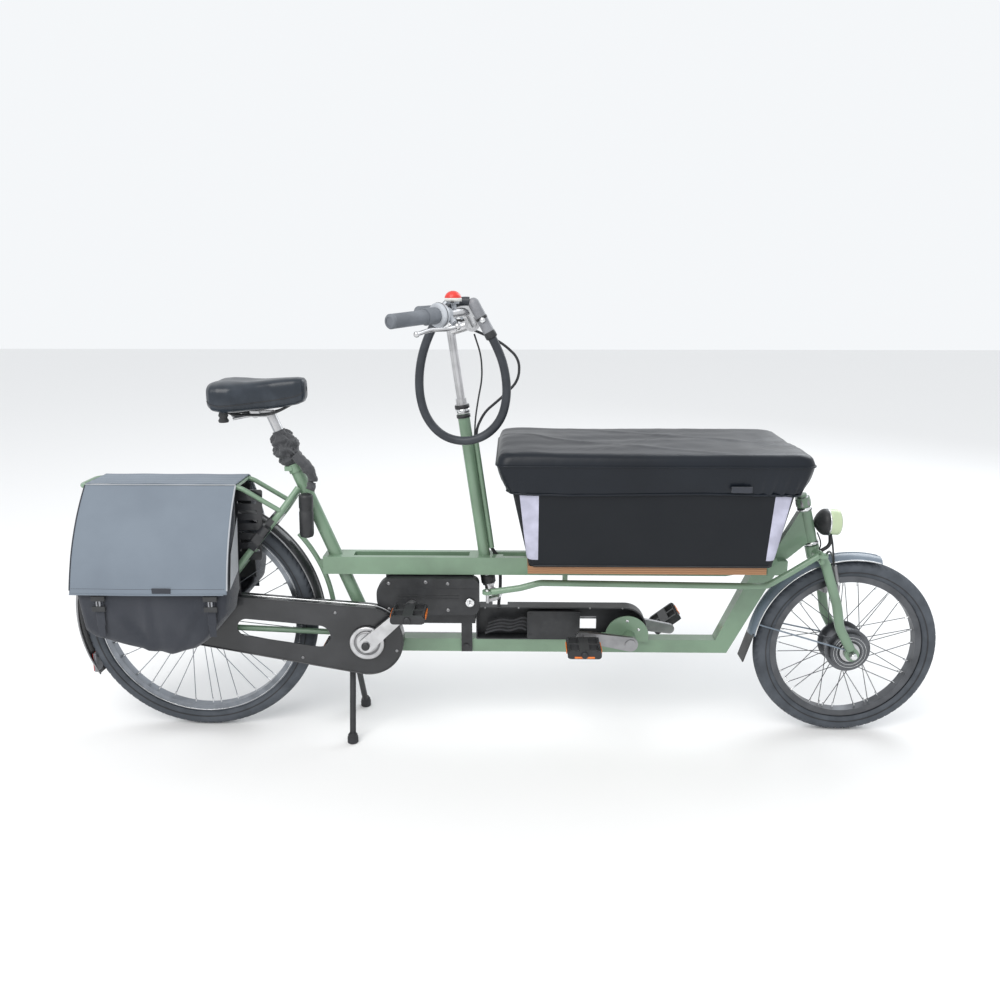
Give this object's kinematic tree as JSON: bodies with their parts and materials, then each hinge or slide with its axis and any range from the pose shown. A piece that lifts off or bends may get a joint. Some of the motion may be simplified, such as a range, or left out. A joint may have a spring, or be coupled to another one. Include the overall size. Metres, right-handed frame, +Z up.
{
  "type": "cargo bicycle",
  "caption": "Long two-wheeled cargo bicycle with a covered box ahead of the rider, rod-linked front fork, two crank sets, battery case and double panniers.",
  "frame": {"origin": "on the ground, midway between the rear mudguard's tail and the front tyre, on the centre plane", "axes": "+X forward, +Y to the rider's left, +Z up"},
  "size_m": [2.4098, 0.6208, 1.2228],
  "materials": {
    "sage_paint": "satin",
    "black_paint": "satin",
    "black_plastic": "matte",
    "silver": "satin",
    "steel": "brushed",
    "tyre": "matte",
    "rubber": "matte",
    "grey_fabric": "woven",
    "black_fabric": "woven",
    "reflective": "satin",
    "wood": "oiled",
    "cable": "satin",
    "guard_blue": "gloss",
    "leather": "satin",
    "lamp": "polished",
    "lock_grey": "satin",
    "box_panel": "matte"
  },
  "bodies": {
    "frame": {"battery_case": "black_plastic", "cargo_box": "box_panel", "cargo_cover": "black_fabric", "cargo_floor": "wood", "chain_case": "black_paint", "chain_lock": "grey_fabric", "chain_stays": "sage_paint", "chains": "steel", "coat_guard": "black_paint", "corner_strips": "reflective", "crank_shells": "sage_paint", "head_tube": "sage_paint", "ladder_rails": "sage_paint", "lower_beam": "sage_paint", "lower_cables": "rubber", "pannier_left": "black_fabric", "pannier_right": "black_fabric", "pannier_strip": "grey_fabric", "rear_axle": "silver", "rear_fender": "black_paint", "rear_rack": "sage_paint", "ring_lock": "black_paint", "seat_stays": "sage_paint", "seat_tube": "sage_paint", "steering_sleeve": "sage_paint", "timing_case": "black_plastic"},
    "rear_wheel": {"rear_tyre": "tyre", "rear_rim": "silver", "rear_hub": "silver"},
    "rear_sprocket": {"rear_sprocket": "steel"},
    "rear_crank": {"rear_crank": "silver"},
    "front_crank": {"front_crank": "steel"},
    "rear_pedal_right": {"rear_pedal_right": "black_plastic"},
    "rear_pedal_left": {"rear_pedal_left": "black_plastic"},
    "front_pedal_right": {"front_pedal_right": "black_plastic"},
    "front_pedal_left": {"front_pedal_left": "black_plastic"},
    "steering": {"steering_column": "silver", "handlebar": "silver", "grips": "rubber", "bar_fittings": "silver", "lock_body": "lock_grey", "lock_loop": "cable", "upper_cables": "rubber"},
    "brake_lever_right": {"brake_lever_right": "silver"},
    "brake_lever_left": {"brake_lever_left": "silver"},
    "steering_rod": {"steering_rod": "sage_paint"},
    "fork": {"fork": "sage_paint", "front_fender": "guard_blue", "mudflap": "black_plastic", "headlamp": "lamp", "front_brake": "steel", "front_axle": "silver"},
    "front_wheel": {"front_tyre": "tyre", "front_rim": "silver", "front_hub": "steel"},
    "kickstand": {"kickstand": "black_plastic"},
    "seat": {"seat_post": "silver", "saddle": "leather"},
    "flap_right": {"flap_right": "grey_fabric"},
    "flap_left": {"flap_left": "grey_fabric"}
  },
  "joints": [
    {"name": "rear_wheel_spin", "type": "hinge", "parent": "frame", "child": "rear_wheel", "pos_m": [-0.853, 0, 0.33], "axis": [0, 1, 0], "continuous": true},
    {"name": "rear_crank_spin", "type": "hinge", "parent": "frame", "child": "rear_crank", "pos_m": [-0.373, 0, 0.288], "axis": [0, 1, 0], "continuous": true},
    {"name": "rear_sprocket_spin", "type": "hinge", "parent": "frame", "child": "rear_sprocket", "pos_m": [-0.853, 0, 0.33], "axis": [0, 1, 0], "continuous": true},
    {"name": "front_crank_spin", "type": "hinge", "parent": "frame", "child": "front_crank", "pos_m": [0.344, 0, 0.288], "axis": [0, 1, 0], "continuous": true},
    {"name": "rear_pedal_right_spin", "type": "hinge", "parent": "rear_crank", "child": "rear_pedal_right", "pos_m": [-0.24666, -0.16, 0.40175], "axis": [0, 1, 0], "continuous": true},
    {"name": "rear_pedal_left_spin", "type": "hinge", "parent": "rear_crank", "child": "rear_pedal_left", "pos_m": [-0.49933, 0.16, 0.17425], "axis": [0, 1, 0], "continuous": true},
    {"name": "front_pedal_right_spin", "type": "hinge", "parent": "front_crank", "child": "front_pedal_right", "pos_m": [0.21066, -0.16, 0.30912], "axis": [0, 1, 0], "continuous": true},
    {"name": "front_pedal_left_spin", "type": "hinge", "parent": "front_crank", "child": "front_pedal_left", "pos_m": [0.47734, 0.16, 0.26688], "axis": [0, 1, 0], "continuous": true},
    {"name": "steering_turn", "type": "hinge", "parent": "frame", "child": "steering", "pos_m": [-0.08067, 0, 0.7], "axis": [-0.1392, 0, 0.9903], "range_deg": [-28, 28]},
    {"name": "rod_swing", "type": "hinge", "parent": "steering", "child": "steering_rod", "pos_m": [-0.0437, -0.088, 0.437], "axis": [-0.1392, 0.0125, 0.9902], "range_deg": [-28, 28]},
    {"name": "fork_turn", "type": "hinge", "parent": "frame", "child": "fork", "pos_m": [0.82323, 0, 0.6], "axis": [-0.2588, 0, 0.9659], "range_deg": [-28, 28]},
    {"name": "front_wheel_spin", "type": "hinge", "parent": "fork", "child": "front_wheel", "pos_m": [0.952, 0, 0.253], "axis": [0, 1, 0], "continuous": true},
    {"name": "brake_right_pull", "type": "hinge", "parent": "steering", "child": "brake_lever_right", "pos_m": [-0.11016, -0.18142, 1.1403], "axis": [-0.4339, 0.4172, -0.7985], "range_deg": [0, 10], "stiffness_Nm_per_rad": 0.6, "springref_deg": -2.86},
    {"name": "brake_left_pull", "type": "hinge", "parent": "steering", "child": "brake_lever_left", "pos_m": [-0.11016, 0.18142, 1.1403], "axis": [0.4339, 0.4172, 0.7985], "range_deg": [0, 10], "stiffness_Nm_per_rad": 0.6, "springref_deg": -2.86},
    {"name": "stand_fold", "type": "hinge", "parent": "frame", "child": "kickstand", "pos_m": [-0.428, 0, 0.22], "axis": [0, 1, 0], "range_deg": [0, 70]},
    {"name": "seat_height", "type": "slide", "parent": "frame", "child": "seat", "axis": [-0.3746, 0, 0.9272], "range_m": [-0.02, 0.06]},
    {"name": "flap_right_open", "type": "hinge", "parent": "frame", "child": "flap_right", "pos_m": [-0.909, -0.063, 0.7222], "axis": [-1, 0, 0], "range_deg": [0, 80]},
    {"name": "flap_left_open", "type": "hinge", "parent": "frame", "child": "flap_left", "pos_m": [-0.909, 0.063, 0.7222], "axis": [1, 0, 0], "range_deg": [0, 80]}
  ],
  "couplings": [
    {"joint": "front_crank_spin", "follows": "rear_crank_spin", "ratio": 1},
    {"joint": "rear_sprocket_spin", "follows": "rear_crank_spin", "ratio": 2.1111},
    {"joint": "rod_swing", "follows": "steering_turn", "ratio": -1},
    {"joint": "fork_turn", "follows": "steering_turn", "ratio": 1}
  ]
}
